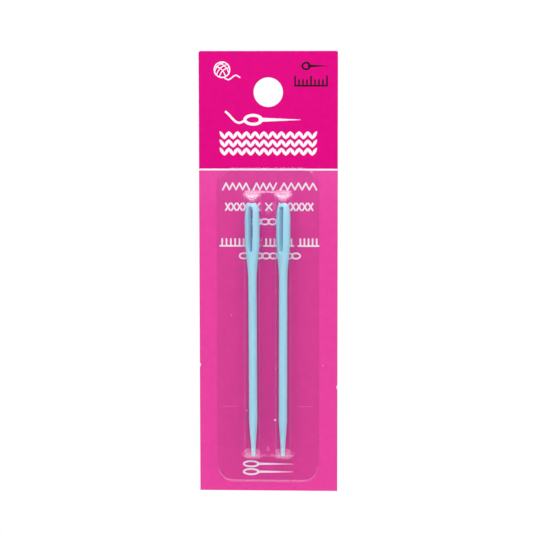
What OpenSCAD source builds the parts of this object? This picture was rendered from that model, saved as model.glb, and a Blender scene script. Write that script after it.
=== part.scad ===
// Retail pack of two plastic yarn needles: a hang card, a clear blister with a
// barrel for each needle, and the needles, which stand on their tips inside.
// The pack hangs upright with its front towards -Y and +Z up. The origin is the
// centre of the hang hole on the card's back face. Lengths are in millimetres.

/* [Needle] */
// Length from tip to head
needle_len = 70; // [55:1:90]
// Diameter of the round shaft
shaft_d = 2.3; // [1.8:0.05:2.6]
// Diameter of the blunt, rounded tip
tip_d = 1; // [0.8:0.05:1.4]
// Length of the cone between tip and shaft
taper_len = 9.8; // [6:0.2:16]
// Greatest width of the flattened head
head_w = 4.25; // [3.6:0.05:5.5]
// Greatest thickness of the flattened head
head_t = 2.7; // [2.4:0.05:3.4]
// Length of the whole head, down to where it has become the shaft
head_len = 21.5; // [18:0.5:26]
// Distance from the head's top to where it starts to narrow
head_full = 9; // [7:0.5:12]
// Distance over which the head rounds off to its top
head_round = 6; // [4:0.5:7]
// Width of the small flat on the very top of the head
head_flat = 1.3; // [0.8:0.1:1.8]

/* [Eye] */
// Length of the eye, a slot with round ends through the head's thickness
eye_len = 12.7; // [8:0.1:14]
// Width of the eye
eye_w = 1.4; // [0.8:0.1:1.8]
// Material left above the eye
eye_bridge = 0.8; // [0.6:0.1:2]

/* [Needles in the pack] */
// How far the left needle is turned about its own length, in degrees
left_turn = 24; // [0:1:40]
// How far the right needle is turned about its own length, in degrees
right_turn = 32; // [0:1:40]
// Lean of the left needle towards the middle at its tip, in degrees
left_lean = 0.2; // [0:0.05:0.3]
// Lean of the right needle towards the middle at its tip, in degrees
right_lean = 0.13; // [0:0.05:0.3]
// Distance of the left needle from its barrel's axis, towards the middle
left_shift = 0.15; // [0:0.05:0.2]
// How far each needle can slide up in its barrel
travel = 2.25; // [1:0.25:6]

/* [Blister] */
// Thickness of the clear sheet
wall = 0.25; // [0.2:0.01:0.4]
// Distance between the axes of the two barrels
barrel_pitch = 8.5; // [8:0.1:12]
// Clearance on each side of a needle's head, if the needle isn't turned
side_gap = 0.5; // [0.45:0.01:0.8]
// Clearance between the card and the head of the needle turned most
back_gap = 0.33; // [0.25:0.01:0.6]
// Clearance between the barrel's crown and the head of the needle turned most
front_gap = 0.45; // [0.3:0.01:0.8]
// Clearance between a needle and its barrel's end where it stops
end_gap = 0.15; // [0.1:0.01:0.5]
// Inside radius of the arc in which a barrel's end runs up to its crown
end_r = 3.3; // [2.4:0.1:3.6]
// Radius of a barrel's corners, seen from the front
barrel_corner_r = 1.7; // [1:0.1:2.4]
// Height of the bridge between the barrels above the card
bridge_h = 0.8; // [0.6:0.05:1.2]
// Distance by which the bridge is shorter than the barrels at each end
bridge_inset = 0.4; // [0.3:0.05:0.8]
// Diameter at the foot of the two small pips on the bridge
pip_d = 1.1; // [0.8:0.1:1.6]
// Height of the pips
pip_h = 0.25; // [0.15:0.05:0.4]
// Distance of the upper pip from the pocket's top end
upper_pip_drop = 5.9; // [4:0.1:12]
// Distance of the lower pip from the pocket's bottom end
lower_pip_rise = 2.7; // [2:0.1:12]
// Width of the sealed flange beside the pocket
flange_side = 6.95; // [5:0.05:12]
// Width of the sealed flange above the pocket
flange_top = 6.35; // [5:0.05:12]
// Width of the sealed flange below the pocket
flange_foot = 6.85; // [5:0.05:12]
// Radius of the flange's corners
flange_r = 4.7; // [2:0.1:6]
// Width of the shallow bead along the flange's edge
bead_w = 0.6; // [0.4:0.05:1]
// Height of the bead above the flange
bead_h = 0.12; // [0.08:0.01:0.3]
// Distance of the bead from the flange's edge
bead_inset = 0.45; // [0.2:0.05:1]
// How far the blister sits to the left of the card's middle
blister_shift = 0.15; // [0:0.05:1]

/* [Card] */
// Thickness of the board
card_t = 0.5; // [0.3:0.05:1]
// Board left on each side of a blister that sits in the middle
card_side = 4.92; // [3:0.02:15]
// Board left below the blister
card_foot = 2.4; // [1:0.1:10]
// Radius of the card's two top corners
card_r = 0.5; // [0.3:0.1:4]
// Diameter of the hang hole
hole_d = 8; // [5:0.1:10]
// Distance of the hang hole's centre from the card's top edge
hole_drop = 11.2; // [8:0.1:20]
// Distance of the blister's top edge below the hang hole's centre
blister_drop = 20.55; // [12:0.05:40]

/* [Hidden] */
$fn = 96;
// How far a cut runs past the face that it opens
past = 1;
// Sides of the needle's section, and rings along each curved stretch of it
needle_sides = 32;
tip_rings = 5;
neck_rings = 9;
crown_rings = 8;
// Fullness of the head's rounded top: 2 is an ellipse, more is squarer
crown_power = 3;

// Width of the head at a distance below its top, as a share of head_w
crown_flat = head_flat / head_w;
function crown(u) = u >= head_round ? 1
    : crown_flat + (1 - crown_flat)
        * pow(1 - pow(1 - u / head_round, crown_power), 1 / crown_power);
// Share of the way from the shaft's size to the head's size
function swell(u) = u <= head_full ? 1
    : u >= head_len ? 0
    : (1 + cos(180 * (u - head_full) / (head_len - head_full))) / 2;
// Diameter of the shaft at a distance above the tip
tip_r = tip_d / 2;
function shaft(v) = v < tip_r ? 2 * sqrt(tip_r * tip_r - pow(tip_r - v, 2))
    : v < taper_len ? tip_d + (shaft_d - tip_d) * (v - tip_r) / (taper_len - tip_r)
    : shaft_d;
// Width and thickness of the needle at a distance above its tip
function needle_w(v) =
    (shaft(v) + (head_w - shaft_d) * swell(needle_len - v)) * crown(needle_len - v);
function needle_t(v) =
    (shaft(v) + (head_t - shaft_d) * swell(needle_len - v)) * crown(needle_len - v);
// Heights of the rings that the needle's skin is drawn through
needle_rings = concat(
    [for (k = [1:tip_rings]) tip_r * (1 - cos(90 * k / tip_rings))],
    [taper_len],
    [for (k = [0:neck_rings])
        needle_len - head_len + (head_len - head_full) * k / neck_rings],
    [for (k = [0:crown_rings])
        needle_len - head_round * pow(1 - k / crown_rings, 2)]
);

// Half of a head's reach towards the front and back when the needle is turned
function half_reach(w, t, turn) = norm([w / 2 * sin(turn), t / 2 * cos(turn)]);
head_reach = half_reach(head_w, head_t, max(left_turn, right_turn));
// Height of the needles' axes above the card's front face
axis_h = back_gap + head_reach;
barrel_in_w = head_w + 2 * side_gap;
barrel_in_h = axis_h + head_reach + front_gap;
barrel_w = barrel_in_w + 2 * wall;
barrel_h = barrel_in_h + wall;
// Distance of the barrel's inner end surface from its foot at a height
end_wall_h = barrel_in_h - end_r;
function end_slope(h) = h <= end_wall_h ? 0
    : end_r - sqrt(end_r * end_r - pow(h - end_wall_h, 2));
// Room that the tip and the head need beyond their ends where they stop
tip_seat = end_gap + max([for (a = [0:5:90])
    end_slope(axis_h + tip_r * sin(a)) - tip_r * (1 - cos(a))]);
turn_max = max(left_turn, right_turn);
head_seat = end_gap + max([for (v = needle_rings) if (v > needle_len - head_len)
    end_slope(axis_h + half_reach(needle_w(v), needle_t(v), turn_max)) - (needle_len - v)]);

// Outer sizes and heights, counted from the hang hole's centre
pocket_len = tip_seat + needle_len + travel + head_seat + 2 * wall;
pocket_w = barrel_pitch + barrel_w;
pocket_top = -blister_drop - flange_top;
pocket_foot = pocket_top - pocket_len;
pocket_mid = (pocket_top + pocket_foot) / 2;
blister_w = pocket_w + 2 * flange_side;
blister_len = pocket_len + flange_top + flange_foot;
blister_mid = -blister_drop - blister_len / 2;
card_w = blister_w + 2 * card_side;
card_low = -blister_drop - blister_len - card_foot;
card_len = hole_drop - card_low;
tip_z = pocket_foot + wall + tip_seat;

// Rectangle about the origin with round corners
module round_rect(w, h, r) {
    square([w - 2 * r, h], center = true);
    square([w, h - 2 * r], center = true);
    for (x = [-1, 1], y = [-1, 1])
        translate([x * (w / 2 - r), y * (h / 2 - r)])
            circle(r = r);
}

// Places what is drawn flat, with its height along Z, on the card's front face
module on_card_front(z = 0) {
    translate([-blister_shift, -card_t, z])
        rotate([90, 0, 0])
            children();
}

// Arched section of a barrel, drawn from below its foot
module arch(w, h, below) {
    translate([-w / 2, -below])
        square([w, h - w / 2 + below]);
    translate([0, h - w / 2])
        circle(d = w);
}

// Side outline of a barrel, whose ends run up to the crown in an arc
module side_outline(len, h, r, below) {
    translate([-len / 2, -below])
        square([len, h - r + below]);
    translate([-len / 2 + r, -below])
        square([len - 2 * r, h + below]);
    for (y = [-1, 1])
        translate([y * (len / 2 - r), h - r])
            circle(r = r);
}

// One barrel of the pocket, with its surface moved inwards by a wall or not at all
module barrel(inwards, below) {
    w = barrel_w - 2 * inwards;
    h = barrel_h - inwards;
    len = pocket_len - 2 * inwards;
    intersection() {
        rotate([90, 0, 0])
            linear_extrude(len, center = true)
                arch(w, h, below);
        rotate([90, 0, 90])
            linear_extrude(w, center = true)
                side_outline(len, h, end_r + wall - inwards, below);
        translate([0, 0, -below])
            linear_extrude(h + below)
                round_rect(w, len, barrel_corner_r - inwards);
    }
}

// The pocket's two barrels and the low bridge between them
module pocket(inwards, below = 0) {
    for (x = [-1, 1])
        translate([x * barrel_pitch / 2, 0, 0])
            barrel(inwards, below);
    bridge_len = pocket_len - 2 * bridge_inset - 2 * inwards;
    translate([-barrel_pitch / 2, -bridge_len / 2, -below])
        cube([barrel_pitch, bridge_len, bridge_h - inwards + below]);
}

module bead() {
    linear_extrude(wall + bead_h)
        difference() {
            round_rect(blister_w - 2 * bead_inset, blister_len - 2 * bead_inset,
                flange_r - bead_inset);
            round_rect(blister_w - 2 * (bead_inset + bead_w),
                blister_len - 2 * (bead_inset + bead_w), flange_r - bead_inset - bead_w);
        }
}

// Small pip that starts inside the bridge's wall
module pip() {
    translate([0, 0, bridge_h - wall / 2])
        cylinder(d1 = pip_d, d2 = pip_d / 2, h = pip_h + wall / 2);
}

module blister() {
    color([0.93, 0.95, 0.97, 0.35]) {
        difference() {
            union() {
                on_card_front(blister_mid) {
                    linear_extrude(wall)
                        round_rect(blister_w, blister_len, flange_r);
                    bead();
                }
                on_card_front(pocket_mid)
                    pocket(0);
            }
            on_card_front(pocket_mid)
                pocket(wall, past);
        }
        on_card_front(pocket_top - upper_pip_drop)
            pip();
        on_card_front(pocket_foot + lower_pip_rise)
            pip();
    }
}

module card_outline() {
    difference() {
        union() {
            translate([-card_w / 2, card_low])
                square([card_w, card_len - card_r]);
            translate([-card_w / 2 + card_r, card_low])
                square([card_w - 2 * card_r, card_len]);
            for (x = [-1, 1])
                translate([x * (card_w / 2 - card_r), hole_drop - card_r])
                    circle(r = card_r);
        }
        circle(d = hole_d);
    }
}

module card() {
    color([0.9, 0.2, 0.6])
        rotate([90, 0, 0])
            linear_extrude(card_t)
                card_outline();
}

// Skin of a needle that stands on its tip at the origin, its eye along Y
module needle_skin() {
    n = needle_sides;
    last = len(needle_rings) - 1;
    points = concat(
        [[0, 0, 0]],
        [for (v = needle_rings, k = [0:n - 1])
            [needle_w(v) / 2 * cos(360 * k / n), needle_t(v) / 2 * sin(360 * k / n), v]]
    );
    // Number of a point on a ring, where 0 is the point at the tip
    function at(ring, k) = 1 + ring * n + k % n;
    faces = concat(
        [for (k = [0:n - 1]) [0, at(0, k), at(0, k + 1)]],
        [for (ring = [0:last - 1], k = [0:n - 1])
            [at(ring, k), at(ring + 1, k), at(ring + 1, k + 1)]],
        [for (ring = [0:last - 1], k = [0:n - 1])
            [at(ring, k), at(ring + 1, k + 1), at(ring, k + 1)]],
        [[for (k = [0:n - 1]) at(last, n - 1 - k)]]
    );
    polyhedron(points, faces);
}

module eye_cut() {
    translate([0, 0, needle_len - eye_bridge - eye_len / 2])
        rotate([90, 0, 0])
            linear_extrude(head_t + 2 * past, center = true) {
                square([eye_w, eye_len - eye_w], center = true);
                for (y = [-1, 1])
                    translate([0, y * (eye_len - eye_w) / 2])
                        circle(d = eye_w);
            }
}

// Needle in its barrel: side is -1 for the left one and 1 for the right one
module needle(side, turn, lean, shift) {
    color([0.62, 0.82, 0.9])
        translate([-blister_shift + side * (barrel_pitch / 2 - shift), -card_t - axis_h, tip_z])
            translate([0, 0, needle_len / 2])
                rotate([0, side * lean, 0])
                    rotate([0, 0, -turn])
                        translate([0, 0, -needle_len / 2])
                            difference() {
                                needle_skin();
                                eye_cut();
                            }
}

module needle_left() {
    needle(-1, left_turn, left_lean, left_shift);
}

module needle_right() {
    needle(1, right_turn, right_lean, 0);
}

card();
blister();
needle_left();
needle_right();
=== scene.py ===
"""Looks of a retail pack of two plastic yarn needles: a printed hang card, a clear
blister with two barrels, and the needles standing in them. Sizes are in
millimetres, turned into metres when a mesh is made. X is right, Z is up, the
front faces -Y, and heights are counted from the card's front face."""
import math

import bmesh
import bpy
from mathutils import Matrix, Vector
from mathutils.geometry import delaunay_2d_cdt


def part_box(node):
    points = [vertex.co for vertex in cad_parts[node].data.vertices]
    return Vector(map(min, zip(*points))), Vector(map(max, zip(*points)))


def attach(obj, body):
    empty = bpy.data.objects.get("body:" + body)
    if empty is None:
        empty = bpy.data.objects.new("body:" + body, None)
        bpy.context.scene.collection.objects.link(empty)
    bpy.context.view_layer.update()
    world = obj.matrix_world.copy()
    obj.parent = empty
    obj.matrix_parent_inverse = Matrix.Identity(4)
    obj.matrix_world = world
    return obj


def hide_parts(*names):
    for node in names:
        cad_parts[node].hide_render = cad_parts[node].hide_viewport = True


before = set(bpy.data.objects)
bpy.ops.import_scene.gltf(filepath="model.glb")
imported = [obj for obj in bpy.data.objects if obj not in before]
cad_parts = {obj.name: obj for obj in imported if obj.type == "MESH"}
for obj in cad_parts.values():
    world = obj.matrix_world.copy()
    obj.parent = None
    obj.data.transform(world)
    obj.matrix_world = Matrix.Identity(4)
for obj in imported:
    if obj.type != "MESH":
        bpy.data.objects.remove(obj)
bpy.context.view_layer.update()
MM = 0.001

# Sizes that the frame gives
CARD_LOW, CARD_HIGH = [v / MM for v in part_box("card")]
BLISTER_LOW, BLISTER_HIGH = [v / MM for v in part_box("blister")]
CARD_FRONT = CARD_LOW.y
CARD_T = CARD_HIGH.y - CARD_LOW.y
FLANGE_W = BLISTER_HIGH.x - BLISTER_LOW.x
FLANGE_LEN = BLISTER_HIGH.z - BLISTER_LOW.z
MID_X = (BLISTER_LOW.x + BLISTER_HIGH.x) / 2
FLANGE_MID_Z = (BLISTER_LOW.z + BLISTER_HIGH.z) / 2
BARREL_H = CARD_FRONT - BLISTER_LOW.y

# Card
CARD_CORNER_R = 0.5
HOLE_R = 4.0
CARD_BEVEL = 0.05

# Blister: sizes as in the part's source, but a thinner sheet and a higher upper end of the bridge
SHEET_T = 0.2
FLANGE_R = 4.7
FLANGE_H = 0.25
BARREL_PITCH = 8.5
BARREL_HALF_W = 2.875
BARREL_TOP_MARGIN = 6.35
BARREL_FOOT_MARGIN = 6.85
BARREL_HALF_LEN = (FLANGE_LEN - BARREL_TOP_MARGIN - BARREL_FOOT_MARGIN) / 2
POCKET_MID_Z = BLISTER_HIGH.z - BARREL_TOP_MARGIN - BARREL_HALF_LEN
FLANGE_SHIFT = POCKET_MID_Z - FLANGE_MID_Z
BARREL_CORNER_R = 1.7
BARREL_END_R = 3.5
CROWN_R = 2.775
SPRING_H = BARREL_H - CROWN_R
END_SPRING_H = BARREL_H - BARREL_END_R
DRAFT = 0.068
FOOT_FILLET = 0.4
FOOT_OUTSETS = (0.9, 0.65)
BRIDGE_H = 0.8
BRIDGE_TOP_INSET = 0.0
BRIDGE_LOW_INSET = 0.4
BRIDGE_RAMP = 0.5
BRIDGE_SIDE = 0.3
PIP_R = 0.6
PIP_H = 0.4
PIP_SLOPE = 0.4
UPPER_PIP_DROP = 5.9
LOWER_PIP_RISE = 2.7
PIP_PLACES = (BARREL_HALF_LEN - UPPER_PIP_DROP, -BARREL_HALF_LEN + LOWER_PIP_RISE)
BEAD_INSET = 0.4
BEAD_HALF_W = 0.33
BEAD_H = 0.12
RIM_INSETS = (1.1, 1.4)
INFILL_MARGIN = 0.12
SKIN_MERGE = 1e-6
IMPRINT_Z = -86.8
IMPRINT_DEPTH = 0.05
IMPRINT_HALF_W = 0.4
IMPRINT_FADE = 0.6
IMPRINT_FROM_EDGE = 1.2

# Needle
NEEDLE_LEN = 70.0
SHAFT_D = 2.3
TIP_R = 0.5
TAPER_LEN = 9.8
HEAD_W = 4.25
HEAD_T = 2.7
HEAD_LEN = 21.5
HEAD_FULL = 9.0
HEAD_ROUND = 6.0
HEAD_FLAT = 1.3
CROWN_POWER = 3
EYE_LEN = 12.7
EYE_W = 1.4
EYE_BRIDGE = 0.8
EYE_LIP = 0.15
EYE_WAIST = 0.3
EYE_TAPER = 0.3
EYE_RINGS = (0, 15, 30, 45, 60, 75, 88)
PARTING_H = 0.02
PARTING_ANGLE = 3.0
SHARP_ANGLE = 50
TOP_RISE = 0.04
NEEDLES = {
    "left": {"side": -1, "turn": 24, "lean": 0.2, "shift": 0.15},
    "right": {"side": 1, "turn": 32, "lean": 0.13, "shift": 0.0},
}

# Lint on the sheet and the card: x, z and size
FLECKS = (
    (1.92, -89.8, 0.26),
    (1.99, -75.6, 0.11),
    (-10.15, -61.2, 0.1),
    (-5.86, -87.1, 0.11),
    (14.94, -75.1, 0.1),
)

# Print on the card
STRIPE_TOP = -20.87
STRIPE_LOW = -21.33
STRIPE_INSET = 0.02
INK_T = 0.012
INK_MERGE = 1e-4


def smooth(t):
    """Smooth step from 0 to 1."""
    t = min(max(t, 0.0), 1.0)
    return t * t * (3 - 2 * t)


def bump(distance, half_width):
    """1 in the middle, falling to 0 at half_width."""
    if abs(distance) >= half_width:
        return 0.0
    return (1 + math.cos(math.pi * distance / half_width)) / 2


def new_object(name, points, faces, body, material, shade_smooth=True):
    """Mesh piece from points in millimetres, riding on a body."""
    mesh = bpy.data.meshes.new(name)
    mesh.from_pydata([Vector(p) * MM for p in points], [], faces)
    mesh.validate()
    mesh.polygons.foreach_set("use_smooth", [shade_smooth] * len(mesh.polygons))
    obj = bpy.data.objects.new(name, mesh)
    bpy.context.scene.collection.objects.link(obj)
    mesh.materials.append(material)
    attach(obj, body)
    return obj


def strip(points, faces, loops):
    """Quads between closed loops of as many points each."""
    first = len(points)
    n = len(loops[0])
    for loop in loops:
        points += loop
    for ring in range(len(loops) - 1):
        for k in range(n):
            a = first + ring * n + k
            b = first + ring * n + (k + 1) % n
            faces.append((a, b, b + n, a + n))


def cap(points, faces, sides, loops):
    """Closes both ends of the strip that was made last."""
    first = len(points) - sides * loops
    faces.append([first + k for k in reversed(range(sides))])
    faces.append([len(points) - sides + k for k in range(sides)])


def apply_modifiers(obj):
    """Bakes an object's modifiers into its mesh."""
    bpy.context.view_layer.update()
    graph = bpy.context.evaluated_depsgraph_get()
    mesh = bpy.data.meshes.new_from_object(obj.evaluated_get(graph))
    obj.modifiers.clear()
    old = obj.data
    obj.data = mesh
    bpy.data.meshes.remove(old)


def clean_mesh(obj, merge=0.0):
    """Merges points closer than merge, drops unused ones and turns every face outwards."""
    bm = bmesh.new()
    bm.from_mesh(obj.data)
    if merge:
        bmesh.ops.remove_doubles(bm, verts=bm.verts, dist=merge * MM)
    bmesh.ops.delete(bm, geom=[v for v in bm.verts if not v.link_faces], context="VERTS")
    bmesh.ops.recalc_face_normals(bm, faces=bm.faces)
    bm.to_mesh(obj.data)
    bm.free()


def circle(count):
    """Angles of count points round a circle."""
    return [2 * math.pi * k / count for k in range(count)]


class Shader:
    """Short forms for building the nodes of a material or a world."""

    def __init__(self, owner, output="OutputMaterial"):
        self.owner = owner
        owner.use_nodes = True
        self.tree = owner.node_tree
        self.tree.nodes.clear()
        self.output = self.node(output)

    def node(self, kind, **settings):
        made = self.tree.nodes.new("ShaderNode" + kind)
        for key, value in settings.items():
            setattr(made, key, value)
        return made

    def link(self, source, target):
        self.tree.links.new(source, target)

    def put(self, socket, value):
        """Links an output to a socket, or sets a plain value on it."""
        if isinstance(value, bpy.types.NodeSocket):
            self.link(value, socket)
        else:
            socket.default_value = value

    def place(self):
        return self.node("TexCoord").outputs["Object"]

    def axis(self, vector, name):
        split = self.node("SeparateXYZ")
        self.link(vector, split.inputs[0])
        return split.outputs[name]

    def math(self, operation, a, b=0.0, c=0.0):
        made = self.node("Math", operation=operation)
        for socket, value in zip(made.inputs, (a, b, c)):
            self.put(socket, value)
        return made.outputs[0]

    def ramp(self, value, low, high, to_low=0.0, to_high=1.0, kind="SMOOTHSTEP"):
        """Change of value from one range to another, held at the ends."""
        made = self.node("MapRange", interpolation_type=kind, clamp=True)
        for socket, number in zip(made.inputs, (value, low, high, to_low, to_high)):
            self.put(socket, number)
        return made.outputs[0]

    def noise(self, size_mm, detail=3.0, rough=0.5, vector=None, stretch=(1, 1, 1)):
        """Noise whose grains are about size_mm across."""
        scale = self.node("Mapping")
        self.link(vector or self.place(), scale.inputs["Vector"])
        scale.inputs["Scale"].default_value = [s / (size_mm * MM) for s in stretch]
        made = self.node("TexNoise")
        self.link(scale.outputs[0], made.inputs["Vector"])
        made.inputs["Scale"].default_value = 1.0
        made.inputs["Detail"].default_value = detail
        made.inputs["Roughness"].default_value = rough
        return made.outputs["Fac"]

    def mix(self, factor, a, b):
        """Mix of two colours."""
        made = self.node("Mix", data_type="RGBA")
        self.put(made.inputs[0], factor)
        self.put(made.inputs[6], a)
        self.put(made.inputs[7], b)
        return made.outputs[2]

    def scaled(self, colour, factor):
        """A colour times a number."""
        made = self.node("VectorMath", operation="SCALE")
        self.link(colour, made.inputs[0])
        self.put(made.inputs["Scale"], factor)
        return made.outputs[0]

    def bumped(self, height, strength, distance_mm, normal=None):
        """Normal of a surface with a height on it."""
        made = self.node("Bump")
        made.inputs["Strength"].default_value = strength
        made.inputs["Distance"].default_value = distance_mm * MM
        self.link(height, made.inputs["Height"])
        if normal is not None:
            self.link(normal, made.inputs["Normal"])
        return made.outputs[0]

    def surface(self, kind, **values):
        """A shader of a kind, with values for its sockets."""
        made = self.node(kind)
        for name, value in values.items():
            self.put(made.inputs[name.replace("_", " ")], value)
        return made.outputs[0]

    def blend(self, factor, a, b):
        """Mix of two shaders."""
        made = self.node("MixShader")
        for socket, value in zip(made.inputs, (factor, a, b)):
            self.put(socket, value)
        return made.outputs[0]

    def finish(self, surface):
        """Links the last shader to the output."""
        self.link(surface, self.output.inputs["Surface"])
        return self.owner


def new_shader(name):
    """Shader of a new material."""
    return Shader(bpy.data.materials.new(name))


def rgb(r, g, b):
    """Linear colour from an 8-bit sRGB one."""
    def linear(c):
        c /= 255
        return c / 12.92 if c <= 0.04045 else ((c + 0.055) / 1.055) ** 2.4
    return (linear(r), linear(g), linear(b), 1.0)


# Materials

WHITE = (1, 1, 1, 1)
HEADER_PINK = rgb(223, 0, 129)
PANEL_PINK = rgb(231, 66, 158)
PANEL_PALE = rgb(236, 80, 168)
PANEL_FADE = 14
BOARD_WHITE = rgb(236, 233, 228)
BOARD_GREY = rgb(214, 208, 199)
BOARD_WARM = rgb(206, 198, 186)
BOARD_FIBRE = rgb(168, 158, 146)
INK_WHITE = rgb(252, 247, 252)
INK_BLACK = rgb(26, 22, 24)
PRINT_SHINE = 0.1
NICKS = ((1, -81.1), (-1, -75.0))
NICK_R = 0.35
EDGE_WEAR = 0.05
FRONT_FACING = -0.6

NEEDLE_BLUE = rgb(180, 237, 255)
NEEDLE_LIGHT = rgb(184, 239, 255)
NEEDLE_DEEP = rgb(172, 233, 254)
# Paler colour towards the tip: a painted highlight for the glare on the needle's tip
NEEDLE_TIP_GLARE = rgb(204, 244, 255)
TIP_GLARE_FROM = -91
TIP_GLARE_TO = -100.5
NEEDLE_IOR = 1.49
GLOW_THROUGH = 0.5
GLOW_RADIUS = (0.5, 0.9, 1.0)
GLOW_DEPTH = 0.5

SHEET_CLEAR = (0.995, 0.985, 1.0, 1)
SHEET_HAZY = (0.98, 0.97, 0.995, 1)
SHEET_LAMP_TINT = (0.985, 0.985, 1.0, 1)
# White of the painted glare on the barrels' up- and down-facing ends
SHEET_GLARE_TINT = (0.95, 0.9, 0.95, 1)
SHEET_MOST_SHINE = 0.16
SHEET_IOR = 1.55
SHEET_GLARE_SHARE = 0.14
END_GLARE_FROM = 0.9


def board_colour(s, fibre, mottle):
    """Bare board, as on the card's back and cut edges, with single darker fibres."""
    board = s.mix(s.ramp(fibre, 0.35, 0.7), BOARD_WHITE, BOARD_GREY)
    strand = s.noise(0.45, detail=2, rough=0.4, stretch=(1, 1, 3.2))
    board = s.mix(s.ramp(strand, 0.66, 0.74, 0.0, 0.5), board, BOARD_FIBRE)
    return s.mix(s.ramp(mottle, 0.45, 0.75, 0.0, 0.35), board, BOARD_WARM)


def worn_places(s, x, z, fibre):
    """1 where ink is missing: along the long edges and in two small nicks in them."""
    half_w = (CARD_HIGH.x - CARD_LOW.x) / 2
    edge = s.math("SUBTRACT", half_w * MM, s.math("ABSOLUTE", x))
    rub = s.math("MULTIPLY_ADD", fibre, EDGE_WEAR * 2 * MM, -EDGE_WEAR * MM)
    worn = s.math("LESS_THAN", edge, rub)
    ragged = s.math("MULTIPLY_ADD", fibre, NICK_R * MM, NICK_R * 0.4 * MM)
    for side, nick_z in NICKS:
        dx = s.math("SUBTRACT", x, side * half_w * MM)
        dz = s.math("MULTIPLY", s.math("SUBTRACT", z, nick_z * MM), 0.6)
        square = s.math("ADD", s.math("MULTIPLY", dx, dx), s.math("MULTIPLY", dz, dz))
        worn = s.math("MAXIMUM", worn, s.math("LESS_THAN", s.math("SQRT", square), ragged))
    return worn


def card_material():
    s = new_shader("printed_card")
    x, z = (s.axis(s.place(), name) for name in "XZ")
    mottle = s.noise(1.8, detail=5, rough=0.65)
    fibre = s.noise(0.09, detail=4, rough=0.7, stretch=(1, 1, 0.35))
    # The two pinks, a touch lighter just below the stripe
    fade = s.ramp(z, (STRIPE_LOW - PANEL_FADE) * MM, STRIPE_LOW * MM, 0.0, 0.5)
    panel = s.mix(fade, PANEL_PINK, PANEL_PALE)
    above = s.math("GREATER_THAN", z, (STRIPE_TOP + STRIPE_LOW) / 2 * MM)
    pink = s.mix(above, panel, HEADER_PINK)
    ink = s.scaled(pink, s.ramp(mottle, 0.3, 0.7, 0.965, 1.03))
    # Ink on the front only, and not where it is worn off
    normal = s.axis(s.node("NewGeometry").outputs["True Normal"], "Y")
    front = s.math("LESS_THAN", normal, FRONT_FACING)
    printed = s.math("MULTIPLY", front, s.math("SUBTRACT", 1.0, worn_places(s, x, z, fibre)))
    return s.finish(s.surface(
        "BsdfPrincipled",
        Base_Color=s.mix(printed, board_colour(s, fibre, mottle), ink),
        Roughness=s.ramp(s.noise(0.6, detail=4), 0.3, 0.7, 0.40, 0.52),
        Normal=s.bumped(s.math("MULTIPLY_ADD", fibre, 0.5, mottle), 0.25, 0.02),
        Specular_IOR_Level=PRINT_SHINE,
    ))


def ink_material(name, colour, show_through):
    """Ink laid on a little thinly, so that the colour under it shows in its grain."""
    s = new_shader(name)
    grain = s.noise(0.16, detail=4, rough=0.7)
    return s.finish(s.surface(
        "BsdfPrincipled",
        Base_Color=s.mix(s.ramp(grain, 0.45, 0.75, 0.0, 0.2), colour, show_through),
        Roughness=s.ramp(grain, 0.3, 0.7, 0.38, 0.5),
        Normal=s.bumped(grain, 0.2, 0.006),
        Specular_IOR_Level=PRINT_SHINE,
    ))


def needle_material():
    """Moulded plastic with flow marks along the needle and fine pores, and a tip painted paler: a
    painted highlight for the glare on it.
    """
    s = new_shader("needle_plastic")
    flow = s.noise(1.3, detail=4, rough=0.55, stretch=(1, 1, 0.08))
    cloud = s.noise(5.0, detail=3, stretch=(1, 1, 0.4))
    pores = s.noise(0.07, detail=2)
    tone = s.mix(s.ramp(cloud, 0.3, 0.7), NEEDLE_BLUE, NEEDLE_LIGHT)
    tone = s.mix(s.ramp(flow, 0.35, 0.75, 0.0, 0.5), tone, NEEDLE_DEEP)
    # Painted highlight: the colour turns paler towards the tip, standing in for the glare on it
    tip_glare = s.ramp(s.axis(s.place(), "Z"), TIP_GLARE_TO * MM, TIP_GLARE_FROM * MM, 0.55, 0.0)
    return s.finish(s.surface(
        "BsdfPrincipled",
        Base_Color=s.mix(tip_glare, tone, NEEDLE_TIP_GLARE),
        Roughness=s.ramp(flow, 0.3, 0.7, 0.34, 0.46),
        Normal=s.bumped(pores, 0.12, 0.006, s.bumped(flow, 0.25, 0.02)),
        Subsurface_Weight=GLOW_THROUGH,
        Subsurface_Radius=GLOW_RADIUS,
        Subsurface_Scale=GLOW_DEPTH * MM,
        IOR=NEEDLE_IOR,
    ))


def end_on(s):
    """0 on the sheet's front and sides, rising to 1 where it faces up or down."""
    return s.math("ABSOLUTE", s.axis(s.node("TexCoord").outputs["Normal"], "Z"))


def painted_end_glare(s):
    """Share of a white diffuse veil where a barrel's ends turn up or down to the flange: a painted
    glare standing in for the reflection of the light from above and below.
    """
    high = s.math("LESS_THAN", s.axis(s.place(), "Y"), (CARD_FRONT - END_GLARE_FROM) * MM)
    streak = s.noise(0.6, detail=3, rough=0.5, stretch=(1, 0.4, 0.4))
    most = s.ramp(streak, 0.3, 0.75, SHEET_GLARE_SHARE * 0.75, SHEET_GLARE_SHARE * 1.3)
    return s.math("MULTIPLY", high, s.math("MULTIPLY", most, s.ramp(end_on(s), 0.25, 0.7)))


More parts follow.
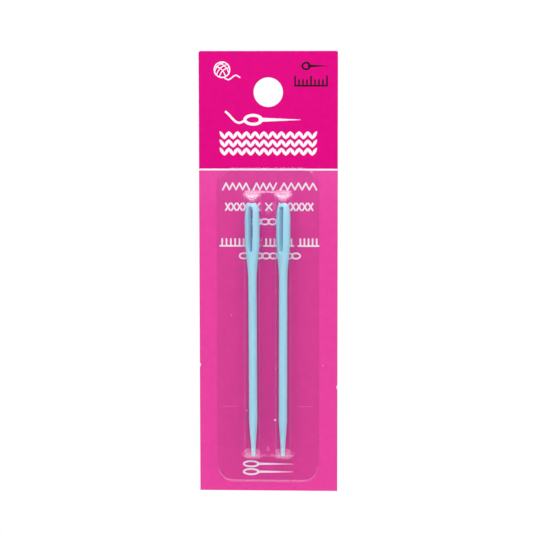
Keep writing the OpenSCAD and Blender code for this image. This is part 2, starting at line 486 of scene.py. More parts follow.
def sheet_material():
    """Clear sheet: what is behind shows straight through, a shine by angle is added, and on the
    barrels' ends a white veil that is a painted glare.
    """
    s = new_shader("clear_sheet")
    wave = s.noise(2.6, detail=2, rough=0.4, stretch=(1, 1, 0.22))
    haze = s.noise(0.5, detail=4, rough=0.6)
    scuff = s.noise(0.25, detail=3, rough=0.7, stretch=(1, 1, 0.12))
    normal = s.bumped(wave, 0.12, 0.02)
    tint = s.mix(s.ramp(haze, 0.3, 0.7), SHEET_CLEAR, SHEET_HAZY)
    through = s.surface("BsdfTransparent", Color=tint)
    gloss = s.ramp(scuff, 0.35, 0.8, 0.12, 0.24)
    gloss = s.math("ADD", gloss, s.ramp(end_on(s), 0.1, 0.3, 0.0, 0.12))
    shine = s.surface("BsdfGlossy", Color=WHITE, Roughness=gloss, Normal=normal)
    fresnel = s.surface("Fresnel", IOR=SHEET_IOR, Normal=normal)
    clear = s.blend(s.math("MINIMUM", fresnel, SHEET_MOST_SHINE), through, shine)
    # Painted glare: a white diffuse veil on the barrels' up- and down-facing ends
    glare_veil = s.surface("BsdfDiffuse", Color=SHEET_GLARE_TINT)
    clear_with_glare = s.blend(painted_end_glare(s), clear, glare_veil)
    # Lamps reach what is behind the sheet without its shine taking light away
    lit = s.surface("BsdfTransparent", Color=SHEET_LAMP_TINT)
    return s.finish(s.blend(s.node("LightPath").outputs["Is Shadow Ray"], clear_with_glare, lit))


# Card

def card_outlines():
    """The board's outline and its hole."""
    corner = [(CARD_CORNER_R * (1 - math.cos(math.radians(a))),
               CARD_CORNER_R * (1 - math.sin(math.radians(a)))) for a in range(0, 91, 15)]
    right, left = CARD_HIGH.x, CARD_LOW.x
    top, low = CARD_HIGH.z, CARD_LOW.z
    outline = [(left, low), (right, low)]
    outline += [(right - across, top - down) for across, down in corner]
    outline += [(left + across, top - down) for across, down in reversed(corner)]
    hole = [(HOLE_R * math.cos(a), HOLE_R * math.sin(a)) for a in circle(128)]
    return outline, hole


def card_piece(material):
    """Board with a punched hole and softly rounded cut edges."""
    curve = bpy.data.curves.new("card_board", "CURVE")
    curve.dimensions = "2D"
    curve.fill_mode = "BOTH"
    curve.extrude = (CARD_T / 2 - CARD_BEVEL) * MM
    curve.bevel_depth = CARD_BEVEL * MM
    curve.bevel_resolution = 2
    curve.offset = -CARD_BEVEL * MM
    for outline in card_outlines():
        spline = curve.splines.new("POLY")
        spline.points.add(len(outline) - 1)
        for target, (x, z) in zip(spline.points, outline):
            target.co = (x * MM, z * MM, 0, 1)
        spline.use_cyclic_u = True
    made = bpy.data.objects.new("card_board", curve)
    bpy.context.scene.collection.objects.link(made)
    bpy.context.view_layer.update()
    graph = bpy.context.evaluated_depsgraph_get()
    mesh = bpy.data.meshes.new_from_object(made.evaluated_get(graph))
    bpy.data.objects.remove(made)
    stand = Matrix.Rotation(math.pi / 2, 4, "X")
    mesh.transform(Matrix.Translation((0, (CARD_FRONT + CARD_T / 2) * MM, 0)) @ stand)
    board = bpy.data.objects.new("card_board", mesh)
    bpy.context.scene.collection.objects.link(board)
    mesh.materials.clear()
    mesh.materials.append(material)
    clean_mesh(board, merge=0.0002)
    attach(board, "pack")
    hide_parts("card")
    return board


# Print: flat shapes in white and black ink, each a thin closed slab

class Print:
    """Collects flat ink shapes drawn on the card's front, in card X and Z."""

    def __init__(self):
        self.outlines = []

    def shape(self, outline):
        """A simple outline, given either way round."""
        turns = sum(a[0] * b[1] - b[0] * a[1] for a, b in zip(outline, outline[1:] + outline[:1]))
        self.outlines.append(outline if turns > 0 else outline[::-1])

    def line(self, points, width):
        """A stroke with round ends and joints."""
        r = width / 2
        for (ax, az), (bx, bz) in zip(points, points[1:]):
            along = math.atan2(bz - az, bx - ax)
            start = [along + math.pi / 2 + math.pi * k / 8 for k in range(9)]
            end = [along - math.pi / 2 + math.pi * k / 8 for k in range(9)]
            self.shape([(ax + r * math.cos(a), az + r * math.sin(a)) for a in start]
                       + [(bx + r * math.cos(a), bz + r * math.sin(a)) for a in end])

    def curve(self, path, width, steps):
        """A stroke along path(t) for t from 0 to 1."""
        self.line([path(k / steps) for k in range(steps + 1)], width)

    def leaf(self, x, z, length, width, angle):
        """A pointed leaf about its middle, the half of a knitted stitch."""
        c, s = math.cos(angle), math.sin(angle)
        outline = []
        for side in (1, -1):
            for k in range(10):
                t = k / 10 if side == 1 else 1 - k / 10
                u = (t - 0.5) * length
                v = side * width / 2 * math.sin(math.pi * t) ** 0.75
                outline.append((x + u * c - v * s, z + u * s + v * c))
        self.shape(outline)

    def slab(self, name, material):
        """All shapes joined into one thin slab, so that no two faces lie on each other."""
        corners, loops = [], []
        for outline in self.outlines:
            loops.append(list(range(len(corners), len(corners) + len(outline))))
            corners += [Vector(p) for p in outline]
        flat, _, triangles, _, _, owners = delaunay_2d_cdt(corners, [], loops, 0, INK_MERGE)
        inked = [tuple(t) for t, owner in zip(triangles, owners) if owner]
        sides = {(t[k], t[(k + 1) % 3]) for t in inked for k in range(3)}
        n = len(flat)
        points = [(p.x, CARD_FRONT - INK_T, p.y) for p in flat]
        points += [(p.x, CARD_FRONT + INK_T / 2, p.y) for p in flat]
        faces = inked + [(c + n, b + n, a + n) for a, b, c in inked]
        faces += [(b, a, a + n, b + n) for a, b in sides if (b, a) not in sides]
        made = new_object(name, points, faces, "pack", material, False)
        clean_mesh(made)
        return made


def knit_band(ink, left, right, top, low, columns, rows):
    """Rows of knitted stitches, each a pair of leaves."""
    step_x = (right - left) / columns
    step_z = (top - low) / rows
    for row in range(rows):
        for column in range(columns):
            x = left + (column + 0.5) * step_x
            z = top - (row + 0.5) * step_z
            for side in (-1, 1):
                ink.leaf(x + side * step_x * 0.25, z, step_z * 1.16, step_x * 0.37,
                         math.pi / 2 - side * 0.55)


STITCH_STEPS = {"zigzag": 0.95, "chain": 2.1, "blanket": 1.15, "cross": 1.6}
STITCH_STROKE = 0.44


def stitch_line(ink, left, right, mid, height, kind):
    """One row of sewing stitches of a kind, from left to right."""
    count = max(1, round((right - left) / STITCH_STEPS[kind]))
    step = (right - left) / count
    low, top = mid - height / 2, mid + height / 2
    for k in range(count):
        x = left + k * step
        if kind == "zigzag":
            up, down = (top, low) if k % 2 else (low, top)
            ink.line([(x, up), (x + step, down)], STITCH_STROKE)
        elif kind == "chain":
            centre = x + step / 2
            ink.curve(lambda t: (centre + step * 0.56 * math.cos(2 * math.pi * t),
                                 mid + height * 0.42 * math.sin(2 * math.pi * t)),
                      STITCH_STROKE, 20)
        elif kind == "blanket":
            ink.line([(x + step / 2, low), (x + step / 2, top)], STITCH_STROKE)
        else:
            ink.line([(x + 0.2, low), (x + step - 0.25, top)], STITCH_STROKE)
            ink.line([(x + 0.2, top), (x + step - 0.25, low)], STITCH_STROKE)
    if kind == "blanket":
        ink.line([(left, low), (right, low)], STITCH_STROKE)


def yarn_ball(ink, x, z, r, stroke):
    """Outline of a ball of yarn with three wraps each way and a loose end."""
    ink.curve(lambda t: (x + r * math.cos(2 * math.pi * t),
                         z + r * math.sin(2 * math.pi * t)), stroke, 40)
    for tilt, share in ((0.75, -0.45), (0.75, 0.0), (0.75, 0.45), (-0.8, -0.3), (-0.8, 0.3)):
        half = r * math.sqrt(1 - share * share)

        def wrap(t, tilt=tilt, share=share, half=half):
            u = (2 * t - 1) * half
            v = share * r + 0.28 * r * (1 - (2 * t - 1) ** 2)
            v = min(v, math.sqrt(max(r * r - u * u, 0)))
            c, s = math.cos(tilt), math.sin(tilt)
            return x + u * c - v * s, z + u * s + v * c
        ink.curve(wrap, stroke * 0.8, 14)
    ink.curve(lambda t: (x + r * 0.3 + 2.0 * r * t,
                         z - r - 0.28 * r * math.sin(math.pi * 2 * t)), stroke, 20)


def needle_mark(ink, left, right, z, width, stroke):
    """Outline of a needle lying on its side, its eye to the left."""
    head = left + (right - left) * 0.3
    ink.curve(lambda t: (left + (head - left) * (1 - math.cos(2 * math.pi * t)) / 2,
                         z + width / 2 * math.sin(2 * math.pi * t)), stroke, 24)
    ink.shape([(head - stroke, z + stroke * 0.75), (head - stroke, z - stroke * 0.75),
               (right, z - 0.04), (right, z + 0.04)])


# Rows of stitches: left, right, middle, height and kind
STITCH_ROWS = (
    (-12.5, -5.2, -25.7, 1.8, "zigzag"),
    (-4.1, 2.2, -25.7, 1.8, "zigzag"),
    (3.3, 13.2, -25.7, 1.8, "zigzag"),
    (-11.9, -2.2, -31.3, 1.9, "cross"),
    (-0.9, 1.2, -31.3, 1.9, "cross"),
    (2.8, 12.4, -31.3, 1.9, "cross"),
    (-6.2, 4.3, -35.4, 1.8, "chain"),
    (-13.3, -2.6, -41.1, 1.9, "blanket"),
    (-1.2, 6.9, -41.1, 1.9, "blanket"),
    (8.2, 13.8, -41.1, 1.9, "blanket"),
    (-7.8, 8.6, -44.8, 1.8, "chain"),
)
RULER_LEFT = 7.3
RULER_LEN = 8.7
RULER_Z = 1.75
RULER_STEPS = 8
RULER_STROKE = 0.46


def white_print():
    """Stripe, header drawings, rows of stitches and two needle outlines."""
    ink = Print()
    half_w = (CARD_HIGH.x - CARD_LOW.x) / 2 - STRIPE_INSET
    ink.shape([(-half_w, STRIPE_LOW), (half_w, STRIPE_LOW),
               (half_w, STRIPE_TOP), (-half_w, STRIPE_TOP)])
    # Header: a thread through a needle, over a band of knitting, and a ball of yarn
    needle_mark(ink, -6.4, 8.8, -7.5, 2.4, 0.8)
    ink.curve(lambda t: (-6.2 - 5.4 * t, -7.5 - 1.2 * math.sin(4.2 * t) + 1.1 * t), 0.6, 24)
    knit_band(ink, -13.2, 13.2, -10.6, -17.3, 11, 3)
    yarn_ball(ink, -12.6, 6.1, 2.1, 0.34)
    for row in STITCH_ROWS:
        stitch_line(ink, *row)
    for z in (-102.7, -104.9):
        needle_mark(ink, -6.9, 6.8, z, 1.5, 0.48)
    return ink.slab("print_white", ink_material("ink_white", INK_WHITE, PANEL_PINK))


def black_print():
    """A needle over a ruler without numbers, at the card's top right."""
    ink = Print()
    needle_mark(ink, 9.3, 16.1, 7.1, 1.8, 0.52)
    ink.line([(RULER_LEFT, RULER_Z), (RULER_LEFT + RULER_LEN, RULER_Z)], RULER_STROKE)
    for k in range(RULER_STEPS + 1):
        x = RULER_LEFT + RULER_LEN * k / RULER_STEPS
        ink.line([(x, RULER_Z), (x, 4.3 if k % 4 == 0 else 3.3)], RULER_STROKE)
    return ink.slab("print_black", ink_material("ink_black", INK_BLACK, HEADER_PINK))


# Lint

def top_height(x, z):
    """Height of the outermost face over the card, on a barrel's straight part or the flange."""
    off_axis = abs(abs(x) - BARREL_PITCH / 2)
    if off_axis < CROWN_R:
        return SPRING_H + math.sqrt(CROWN_R ** 2 - off_axis ** 2)
    inside = -in_round_rect(x, z - FLANGE_MID_Z, FLANGE_W / 2, FLANGE_LEN / 2, FLANGE_R)
    return FLANGE_H if inside > 0 else 0.0


def flecks(material):
    """A few specks of lint lying on the clear sheet and on the card beside it."""
    sides = 10
    points, faces = [], []
    for x, z, r in FLECKS:
        level = top_height(x - MID_X, z)
        top = CARD_FRONT - level - r * 0.7
        low = CARD_FRONT - level + r * 0.2
        loops = []
        for y, share in ((low, 0.75), ((top + low) / 2, 1.0), (top, 0.55)):
            loops.append([(x + r * share * math.cos(a) * (1 + 0.25 * math.sin(3 * a + x)),
                           y, z + r * share * math.sin(a)) for a in circle(sides)])
        strip(points, faces, loops)
        cap(points, faces, sides, len(loops))
    made = new_object("lint_flecks", points, faces, "pack", material)
    clean_mesh(made)
    return made


# Blister

def round_loop(half_w, half_len, r, long_n=64, end_n=5, corner_n=8):
    """Points of a rectangle with round corners, always as many of them."""
    r = min(r, half_w, half_len)
    quarter = [(math.cos(math.pi / 2 * k / corner_n), math.sin(math.pi / 2 * k / corner_n))
               for k in range(corner_n + 1)]
    inner_w, inner_len = half_w - r, half_len - r
    points = [(half_w, inner_len * (2 * k / long_n - 1)) for k in range(long_n)]
    points += [(inner_w + r * c, inner_len + r * s) for c, s in quarter]
    points += [(inner_w * (1 - 2 * k / end_n), half_len) for k in range(1, end_n)]
    points += [(-inner_w - r * s, inner_len + r * c) for c, s in quarter]
    points += [(-half_w, inner_len * (1 - 2 * k / long_n)) for k in range(1, long_n)]
    points += [(-inner_w - r * c, -inner_len - r * s) for c, s in quarter]
    points += [(inner_w * (2 * k / end_n - 1), -half_len) for k in range(1, end_n)]
    points += [(inner_w + r * s, -inner_len - r * c) for c, s in quarter]
    return points


def barrel_loop(half_w, half_len, r):
    """Loop round a barrel, close-set at its corners, where the bridge's ends run into it."""
    return round_loop(half_w, half_len, r, long_n=72, end_n=8, corner_n=20)


def barrel_half_w(h):
    """Half of a barrel's width at a height: drafted walls, then a round crown."""
    if h <= SPRING_H:
        return BARREL_HALF_W - h * DRAFT
    return math.sqrt(max(CROWN_R ** 2 - (h - SPRING_H) ** 2, 0))


def barrel_half_len(h):
    """Half of a barrel's length at a height, its ends running up to the crown in an arc."""
    if h <= END_SPRING_H:
        return BARREL_HALF_LEN - h * DRAFT
    rise = min(h - END_SPRING_H, BARREL_END_R)
    arc = BARREL_END_R - math.sqrt(max(BARREL_END_R ** 2 - rise ** 2, 0))
    return BARREL_HALF_LEN - END_SPRING_H * DRAFT - arc


def barrel_rings():
    """Loops of a barrel from the flange up to its crown, as (outline, height)."""
    rings = []
    for outset in FOOT_OUTSETS:
        rings.append((barrel_loop(BARREL_HALF_W + outset, BARREL_HALF_LEN + outset,
                                  BARREL_CORNER_R + outset), FLANGE_H))
    fillet_steps = 6
    for k in range(fillet_steps + 1):
        angle = math.radians(90 * k / fillet_steps)
        outset = FOOT_FILLET * (1 - math.sin(angle))
        h = FLANGE_H + FOOT_FILLET * (1 - math.cos(angle))
        grow = outset - h * DRAFT * k / fillet_steps
        rings.append((barrel_loop(BARREL_HALF_W + grow, BARREL_HALF_LEN + grow,
                                  BARREL_CORNER_R + outset), h))
    foot = FLANGE_H + FOOT_FILLET
    heights = [foot + (SPRING_H - foot) * k / 3 for k in (1, 2, 3)]
    heights += [SPRING_H + CROWN_R * math.sin(math.radians(5 * k)) for k in range(1, 19)]
    for h in heights:
        rings.append((barrel_loop(barrel_half_w(h), barrel_half_len(h), BARREL_CORNER_R), h))
    return rings


def in_round_rect(x, z, half_w, half_len, r):
    """Distance from a point to the inside of a rectangle with round corners; below 0 is inside."""
    dx, dz = abs(x) - (half_w - r), abs(z) - (half_len - r)
    if dx > 0 and dz > 0:
        return math.hypot(dx, dz) - r
    return max(dx, dz) - r


def bridge_end(z):
    """How far the bridge reaches from the pocket's middle, on the side that z is on."""
    return BARREL_HALF_LEN - (BRIDGE_TOP_INSET if z > 0 else BRIDGE_LOW_INSET)


def relief(x, z):
    """Height of the sheet's outer face over the flange: bridge, pips, bead and imprint.
    x and z are counted from the pocket's middle."""
    ramp = smooth((bridge_end(z) - abs(z)) / BRIDGE_RAMP)
    across = smooth((BARREL_PITCH / 2 + BRIDGE_SIDE - abs(x)) / BRIDGE_SIDE)
    rise = (BRIDGE_H - FLANGE_H) * ramp * across
    for pip_z in PIP_PLACES:
        reach = math.hypot(x, z - pip_z)
        rise += PIP_H * smooth((PIP_R - reach) / PIP_SLOPE)
    inside = -in_round_rect(x, z + FLANGE_SHIFT, FLANGE_W / 2, FLANGE_LEN / 2, FLANGE_R)
    rise += BEAD_H * bump(inside - BEAD_INSET, BEAD_HALF_W)
    beside = smooth((abs(x) - BARREL_PITCH / 2 - BARREL_HALF_W - FOOT_OUTSETS[0]) / IMPRINT_FADE)
    beside *= smooth((inside - IMPRINT_FROM_EDGE) / IMPRINT_FADE)
    rise -= IMPRINT_DEPTH * beside * bump(z + POCKET_MID_Z - IMPRINT_Z, IMPRINT_HALF_W)
    return rise


def joined_height(base, rise):
    """Smooth union of a barrel's height with the relief beside it."""
    flat = FLANGE_H + rise
    shared = min(base, flat) - FLANGE_H
    blend = 0.5 * min(max(shared / (BRIDGE_H - FLANGE_H), 0.0), 1.0)
    if blend <= 0:
        return max(base, flat)
    t = max(blend - abs(base - flat), 0) / blend
    return max(base, flat) + t * t * blend / 4


def near_detail(x, z):
    """Whether a place is at a pip or at the bridge's ends, which have close-set points."""
    ramp_mid = bridge_end(z) - BRIDGE_RAMP / 2
    if abs(x) < BARREL_PITCH / 2 and abs(abs(z) - ramp_mid) < BRIDGE_RAMP:
        return True
    return any(math.hypot(x, z - pip_z) < PIP_R * 1.4 for pip_z in PIP_PLACES)


def infill_points():
    """Places in the flat part of the sheet that its skin passes through."""
    half_w, half_len = FLANGE_W / 2, FLANGE_LEN / 2
    wide = [half_w * (k / 13 - 1) for k in range(27)]
    tall = [half_len * (k / 40 - 1) - FLANGE_SHIFT for k in range(81)]
    places = [(x, z) for x in wide for z in tall if not near_detail(x, z)]
    gap = BARREL_PITCH / 2 - BARREL_HALF_W
    narrow = [gap * (k / 10 - 1) for k in range(21)]
    for side in (-1, 1):
        ends = [side * (bridge_end(side) - BRIDGE_RAMP * k / 8) for k in range(-1, 10)]
        places += [(x, z) for x in narrow for z in ends]
    for pip_z in PIP_PLACES:
        for ring in range(9):
            r = PIP_R * 1.25 * ring / 8
            places += [(r * math.cos(a), pip_z + r * math.sin(a))
                       for a in circle(max(1, 4 * ring))]
    outer = half_w - IMPRINT_FROM_EDGE - 0.4
    inner = BARREL_PITCH / 2 + BARREL_HALF_W + FOOT_OUTSETS[0] + 0.1
    for row in range(-4, 5):
        z = IMPRINT_Z - POCKET_MID_Z + IMPRINT_HALF_W * row / 3.5
        for k in range(11):
            x = outer - (outer - inner) * k / 10
            places += [(x, z), (-x, z)]
    return places


def on_flat(x, z, margin):
    """Whether a place lies between the rim's innermost loop and the barrels' outermost ones."""
    inset, outset = RIM_INSETS[-1], FOOT_OUTSETS[0]
    rim = in_round_rect(x, z + FLANGE_SHIFT, FLANGE_W / 2 - inset,
                        FLANGE_LEN / 2 - inset, FLANGE_R - inset)
    if rim > -margin:
        return False
    foot = in_round_rect(abs(x) - BARREL_PITCH / 2, z, BARREL_HALF_W + outset,
                         BARREL_HALF_LEN + outset, BARREL_CORNER_R + outset)
    return foot >= margin


def barrel_skin(points, faces, side, rings):
    """One barrel, from loops on the flange up to its crown. Gives back its outermost loop."""
    axis = side * BARREL_PITCH / 2
    strip(points, faces, [
        [(x + axis, z, joined_height(h, relief(x + axis, z))) for x, z in outline]
        for outline, h in rings
    ])
    return [(x + axis, z) for x, z in rings[0][0]]


def rim_skin(points, faces):
    """The flange's edge and its bead. Gives back its innermost loop."""
    steps = 5
    insets = [0.0]
    insets += [BEAD_INSET + BEAD_HALF_W * (k / steps - 1) for k in range(2 * steps + 1)]
    insets += RIM_INSETS
    loops = []
    for inset in insets:
        outline = round_loop(FLANGE_W / 2 - inset, FLANGE_LEN / 2 - inset, FLANGE_R - inset,
                             long_n=80, end_n=26, corner_n=12)
        loops.append([(x, z - FLANGE_SHIFT, FLANGE_H + relief(x, z - FLANGE_SHIFT))
                      for x, z in outline])
    strip(points, faces, loops)
    return [(x, z) for x, z, _ in loops[-1]]


def flat_skin(points, faces, borders):
    """The flat part with its bridge, pips and imprint, between the given loops."""
    places = []
    edges = []
    for loop in borders:
        first = len(places)
        places += loop
        edges += [(first + k, first + (k + 1) % len(loop)) for k in range(len(loop))]
    places += [p for p in infill_points() if on_flat(*p, INFILL_MARGIN)]
    corners = [Vector(p) for p in places]
    made, _, triangles, _, _, _ = delaunay_2d_cdt(corners, edges, [], 0, SKIN_MERGE)
    first = len(points)
    points += [(p.x, p.y, FLANGE_H + relief(p.x, p.y)) for p in made]
    for face in triangles:
        x = sum(made[k].x for k in face) / len(face)
        z = sum(made[k].y for k in face) / len(face)
        if on_flat(x, z, 0.0):
            faces.append([first + k for k in face])


def blister_piece(material):
    """Thermoformed sheet: one skin over barrels, rim and flat part, given a thickness."""
    points, faces = [], []
    rings = barrel_rings()
    feet = [barrel_skin(points, faces, side, rings) for side in (-1, 1)]
    flat_skin(points, faces, [rim_skin(points, faces)] + feet)
    placed = [(MID_X + x, CARD_FRONT - h, POCKET_MID_Z + z) for x, z, h in points]
    sheet = new_object("blister_sheet", placed, faces, "pack", material)
    clean_mesh(sheet, merge=0.002)
    if sum(p.normal.y * p.area for p in sheet.data.polygons) > 0:
        sheet.data.flip_normals()
    solid = sheet.modifiers.new("thickness", "SOLIDIFY")
    solid.thickness = SHEET_T * MM
    solid.offset = -1
    solid.use_even_offset = False
    apply_modifiers(sheet)
    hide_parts("blister")
    return sheet


# Needles

def crown(u):
    """Width of the head at a distance below its top, as a share of its full width."""
    if u >= HEAD_ROUND:
        return 1.0
    flat = HEAD_FLAT / HEAD_W
    return flat + (1 - flat) * (1 - (1 - u / HEAD_ROUND) ** CROWN_POWER) ** (1 / CROWN_POWER)


def swell(u):
    """Share of the way from the shaft's size to the head's size."""
    if u <= HEAD_FULL:
        return 1.0
    if u >= HEAD_LEN:
        return 0.0
    return (1 + math.cos(math.pi * (u - HEAD_FULL) / (HEAD_LEN - HEAD_FULL))) / 2


def shaft(v):
    """Diameter of the shaft at a distance above the tip."""
    if v < TIP_R:
        return 2 * math.sqrt(max(TIP_R ** 2 - (TIP_R - v) ** 2, 0))
    if v < TAPER_LEN:
        return 2 * TIP_R + (SHAFT_D - 2 * TIP_R) * (v - TIP_R) / (TAPER_LEN - TIP_R)
    return SHAFT_D


def section(v):
    """Half width and half thickness of the needle at a distance above its tip."""
    u = NEEDLE_LEN - v
    body = crown(u)
    return ((shaft(v) + (HEAD_W - SHAFT_D) * swell(u)) * body / 2,
            (shaft(v) + (HEAD_T - SHAFT_D) * swell(u)) * body / 2)


def needle_skin():
    """Closed skin of a needle standing on its tip, with a faint parting line on both sides."""
    near = (-4.0, -2.2, -1.1, 0.0, 1.1, 2.2, 4.0)
    angles = sorted([(a + turn) % 360 for a in near for turn in (0, 180)]
                    + [a for a in range(0, 360, 5) if 6 < a % 180 < 174])
    stations = [TIP_R * (1 - math.cos(math.pi / 2 * k / 8)) for k in range(1, 9)]
    stations += [TIP_R + (TAPER_LEN - TIP_R) * k / 20 for k in range(1, 21)]
    stations += [TAPER_LEN + (NEEDLE_LEN - HEAD_LEN - TAPER_LEN) * k / 30 for k in range(1, 31)]
    stations += [NEEDLE_LEN - HEAD_LEN + (HEAD_LEN - HEAD_ROUND) * k / 40 for k in range(1, 41)]
    stations += [NEEDLE_LEN - HEAD_ROUND * (1 - k / 28) ** 2.2 for k in range(1, 29)]
    points = [(0, 0, 0)]
    faces = []
    n = len(angles)
    for v in stations:
        half_w, half_t = section(v)
        for angle in angles:
            off = min(angle % 180, 180 - angle % 180)
            ridge = 1 + PARTING_H / half_w * bump(off, PARTING_ANGLE) if half_w > 0.3 else 1
            a = math.radians(angle)
            points.append((half_w * ridge * math.cos(a), half_t * math.sin(a), v))
    for k in range(n):
        faces.append((0, 1 + (k + 1) % n, 1 + k))
    for ring in range(len(stations) - 1):
        for k in range(n):
            a = 1 + ring * n + k
            b = 1 + ring * n + (k + 1) % n
            faces.append((a, b, b + n, a + n))
    top = 1 + (len(stations) - 1) * n
    points.append((0, 0, NEEDLE_LEN + TOP_RISE))
    for k in range(n):
        faces.append((top + k, top + (k + 1) % n, len(points) - 1))
    return points, faces


def eye_outline():
    """Points round the eye, each with the direction away from its middle line."""
    mid = NEEDLE_LEN - EYE_BRIDGE - EYE_LEN / 2
    half = EYE_LEN / 2 - EYE_W / 2
    turns, steps = 16, 24
    outline = []
    for end in (1, -1):
        for k in range(turns + 1):
            a = math.pi * k / turns + (0 if end == 1 else math.pi)
            outline.append((math.cos(a), math.sin(a), EYE_W / 2 * math.cos(a),
                            mid + end * half + EYE_W / 2 * math.sin(a)))
        outline += [(-end, 0, -end * EYE_W / 2, mid + end * half * (1 - 2 * k / steps))
                    for k in range(1, steps)]
    tapered = []
    for nx, nz, x, z in outline:
        below = max((mid - z) / (EYE_LEN / 2), 0)
        tapered.append((nx, nz, x * (1 - EYE_TAPER * below ** 2), z))
    return tapered


def eye_cutter():
    """Slot through the head, narrowest halfway in, whose walls meet the skin in a soft lip."""
    outline = eye_outline()
    halves = []
    for side in (-1, 1):
        loops = []
        for angle in (math.radians(a) for a in EYE_RINGS):
            loop = []
            for nx, nz, x, z in outline:
                half_w, half_t = section(z)
                depth = half_t * math.sqrt(max(1 - (x / half_w) ** 2, 0))
                out = EYE_LIP * (1 - math.cos(angle))
                deep = depth - EYE_LIP * (1 - math.sin(angle))
                loop.append((x + nx * out, side * deep, z + nz * out))
            loops.append(loop)
        far = EYE_LIP * 1.2
        loops.append([(x + nx * far, side * HEAD_T, z + nz * far) for nx, nz, x, z in outline])
        halves.append(loops)
    waist = [(x - nx * EYE_WAIST, 0, z - nz * EYE_WAIST) for nx, nz, x, z in outline]
    loops = halves[0][::-1] + [waist] + halves[1]
    points, faces = [], []
    strip(points, faces, loops)
    cap(points, faces, len(outline), len(loops))
    return points, faces


def needle_piece(name, setting, material):
    """One moulded needle, turned and leaning in its barrel as its CAD node is."""
    body = name + "_needle"
    points, faces = needle_skin()
    needle = new_object("yarn_needle_" + name, points, faces, body, material)
    clean_mesh(needle, merge=0.0001)
    cutter = new_object("eye_cutter", *eye_cutter(), body, material)
    clean_mesh(cutter, merge=0.0001)
    cut = needle.modifiers.new("eye", "BOOLEAN")
    cut.operation = "DIFFERENCE"
    cut.solver = "EXACT"
    cut.object = cutter
    apply_modifiers(needle)
    bpy.data.objects.remove(cutter)
    low, high = [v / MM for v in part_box("needle_" + name)]
    axis_x = MID_X + setting["side"] * (BARREL_PITCH / 2 - setting["shift"])
    axis_y = (low.y + high.y) / 2
    place = (
        Matrix.Translation(Vector((axis_x, axis_y, low.z + NEEDLE_LEN / 2)) * MM)
        @ Matrix.Rotation(math.radians(setting["side"] * setting["lean"]), 4, "Y")
        @ Matrix.Rotation(math.radians(-setting["turn"]), 4, "Z")
        @ Matrix.Translation(Vector((0, 0, -NEEDLE_LEN / 2)) * MM)
    )
    needle.data.transform(place)
    needle.data.polygons.foreach_set("use_smooth", [True] * len(needle.data.polygons))
    needle.data.set_sharp_from_angle(angle=math.radians(SHARP_ANGLE))
    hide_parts("needle_" + name)
    return needle


# Studio

CAMERA_DISTANCE = 600.0
CAMERA_ELEVATION = 5.82
CAMERA_AZIMUTH = 2.73
CAMERA_ROLL = 0.073
CAMERA_AIM = (-0.53, CARD_FRONT, -47.72)
FOCAL_PX = 2185.3
FRAME_PX = 533
SENSOR = 36.0
FLOOR_Z = -0.235
FLOOR_HALF = 0.4
FLOOR_GLOW = 0.96
WORLD_FILL = 0.26
WORLD_FRONT_GLOSS = 0.12
ROOM_FRONT = -0.2
ROOM_BACK = 0.9
LAMP_AIM = (0, 0, -0.06)
# Name, place, width and depth in metres, glow, and whether glossy surfaces mirror it
LAMPS = (
    ("key_left", (-0.55, -0.65, 0.45), (0.5, 0.5), 1.2, False),
    ("front_soft", (0.1, -0.6, 0.37), (0.6, 0.25), 2.6, True),
    ("top_panel", (0.0, -0.1, 0.5), (0.8, 0.8), 3.1, True),
    ("back_fill", (-0.3, 0.8, 0.35), (0.6, 0.6), 1.6, False),
)


def make_camera():
    data = bpy.data.cameras.new("camera")
    data.sensor_width = SENSOR
    data.lens = FOCAL_PX / FRAME_PX * SENSOR
    data.clip_start = 0.02
    data.clip_end = 20
    camera = bpy.data.objects.new("camera", data)
    bpy.context.scene.collection.objects.link(camera)
    a, e = math.radians(CAMERA_AZIMUTH), math.radians(CAMERA_ELEVATION)
    back = Vector((math.sin(a) * math.cos(e), -math.cos(a) * math.cos(e), math.sin(e)))
    camera.location = (Vector(CAMERA_AIM) + back * CAMERA_DISTANCE) * MM
    look = (-back).to_track_quat("-Z", "Y").to_matrix().to_4x4()
    roll = Matrix.Rotation(math.radians(-CAMERA_ROLL), 4, "Z")
    camera.rotation_euler = (look @ roll).to_euler()
    bpy.context.scene.camera = camera


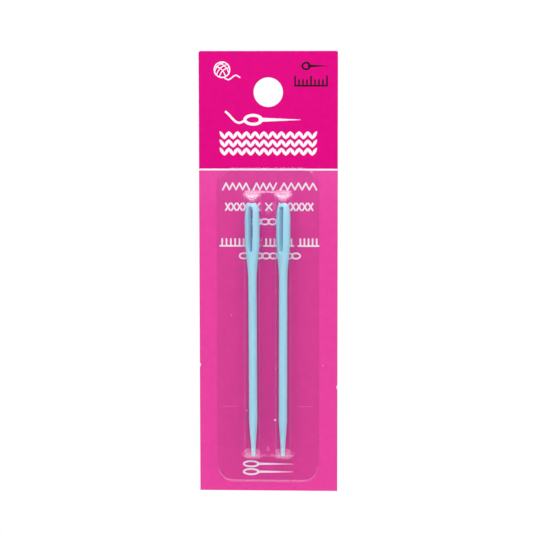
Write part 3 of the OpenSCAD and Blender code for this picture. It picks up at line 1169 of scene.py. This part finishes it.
def make_world():
    """White to the camera. To other rays a grey studio, and in mirrors white behind the object
    and dim in front of it."""
    world = bpy.data.worlds.new("studio")
    bpy.context.scene.world = world
    s = Shader(world, "OutputWorld")
    path = s.node("LightPath")
    ray_y = s.axis(s.node("TexCoord").outputs["Generated"], "Y")
    room = s.ramp(ray_y, ROOM_FRONT, ROOM_BACK, WORLD_FRONT_GLOSS, 1.0, kind="LINEAR")
    fill, mirrored, white = (s.surface("Background", Color=WHITE, Strength=strength)
                             for strength in (WORLD_FILL, room, 1.0))
    unseen = s.blend(path.outputs["Is Glossy Ray"], fill, mirrored)
    seen = s.math("MAXIMUM", path.outputs["Is Camera Ray"], path.outputs["Is Transmission Ray"])
    s.finish(s.blend(seen, unseen, white))


def floor_material():
    """White to camera, glossy and transmission rays, with some of the object's shadow kept."""
    s = new_shader("studio_floor")
    path = s.node("LightPath")
    seen = s.math("MAXIMUM", path.outputs["Is Camera Ray"], path.outputs["Is Transmission Ray"])
    seen = s.math("MAXIMUM", seen, path.outputs["Is Glossy Ray"])
    matt = s.surface("BsdfDiffuse", Color=rgb(245, 245, 245))
    white = s.surface("Emission", Strength=1.0)
    return s.finish(s.blend(s.math("MULTIPLY", seen, FLOOR_GLOW), matt, white))


def area_light(name, place, size, glow, mirrored):
    """Soft box aimed at the object. glow is how bright its face looks, where 1 is white.
    One that isn't mirrored lights the object without a glare on the clear sheet."""
    data = bpy.data.lights.new(name, "AREA")
    data.shape = "RECTANGLE"
    data.size, data.size_y = size
    data.energy = glow * math.pi * size[0] * size[1]
    lamp = bpy.data.objects.new(name, data)
    bpy.context.scene.collection.objects.link(lamp)
    lamp.location = place
    aim = Vector(LAMP_AIM) - Vector(place)
    lamp.rotation_euler = aim.to_track_quat("-Z", "Y").to_euler()
    lamp.visible_camera = False
    lamp.visible_glossy = mirrored
    return lamp


def make_floor():
    mesh = bpy.data.meshes.new("studio_floor")
    corners = ((-1, -1), (1, -1), (1, 1), (-1, 1))
    mesh.from_pydata([(FLOOR_HALF * x, FLOOR_HALF * y, FLOOR_Z) for x, y in corners],
                     [], [(0, 1, 2, 3)])
    mesh.materials.append(floor_material())
    floor = bpy.data.objects.new("studio_floor", mesh)
    bpy.context.scene.collection.objects.link(floor)


def make_studio():
    make_world()
    for lamp in LAMPS:
        area_light(*lamp)
    make_floor()


def main():
    bpy.context.scene.view_settings.view_transform = "Standard"
    make_camera()
    make_studio()
    card_piece(card_material())
    white_print()
    black_print()
    flecks(ink_material("lint", INK_WHITE, INK_WHITE))
    blister_piece(sheet_material())
    plastic = needle_material()
    for name, setting in NEEDLES.items():
        needle_piece(name, setting, plastic)


main()
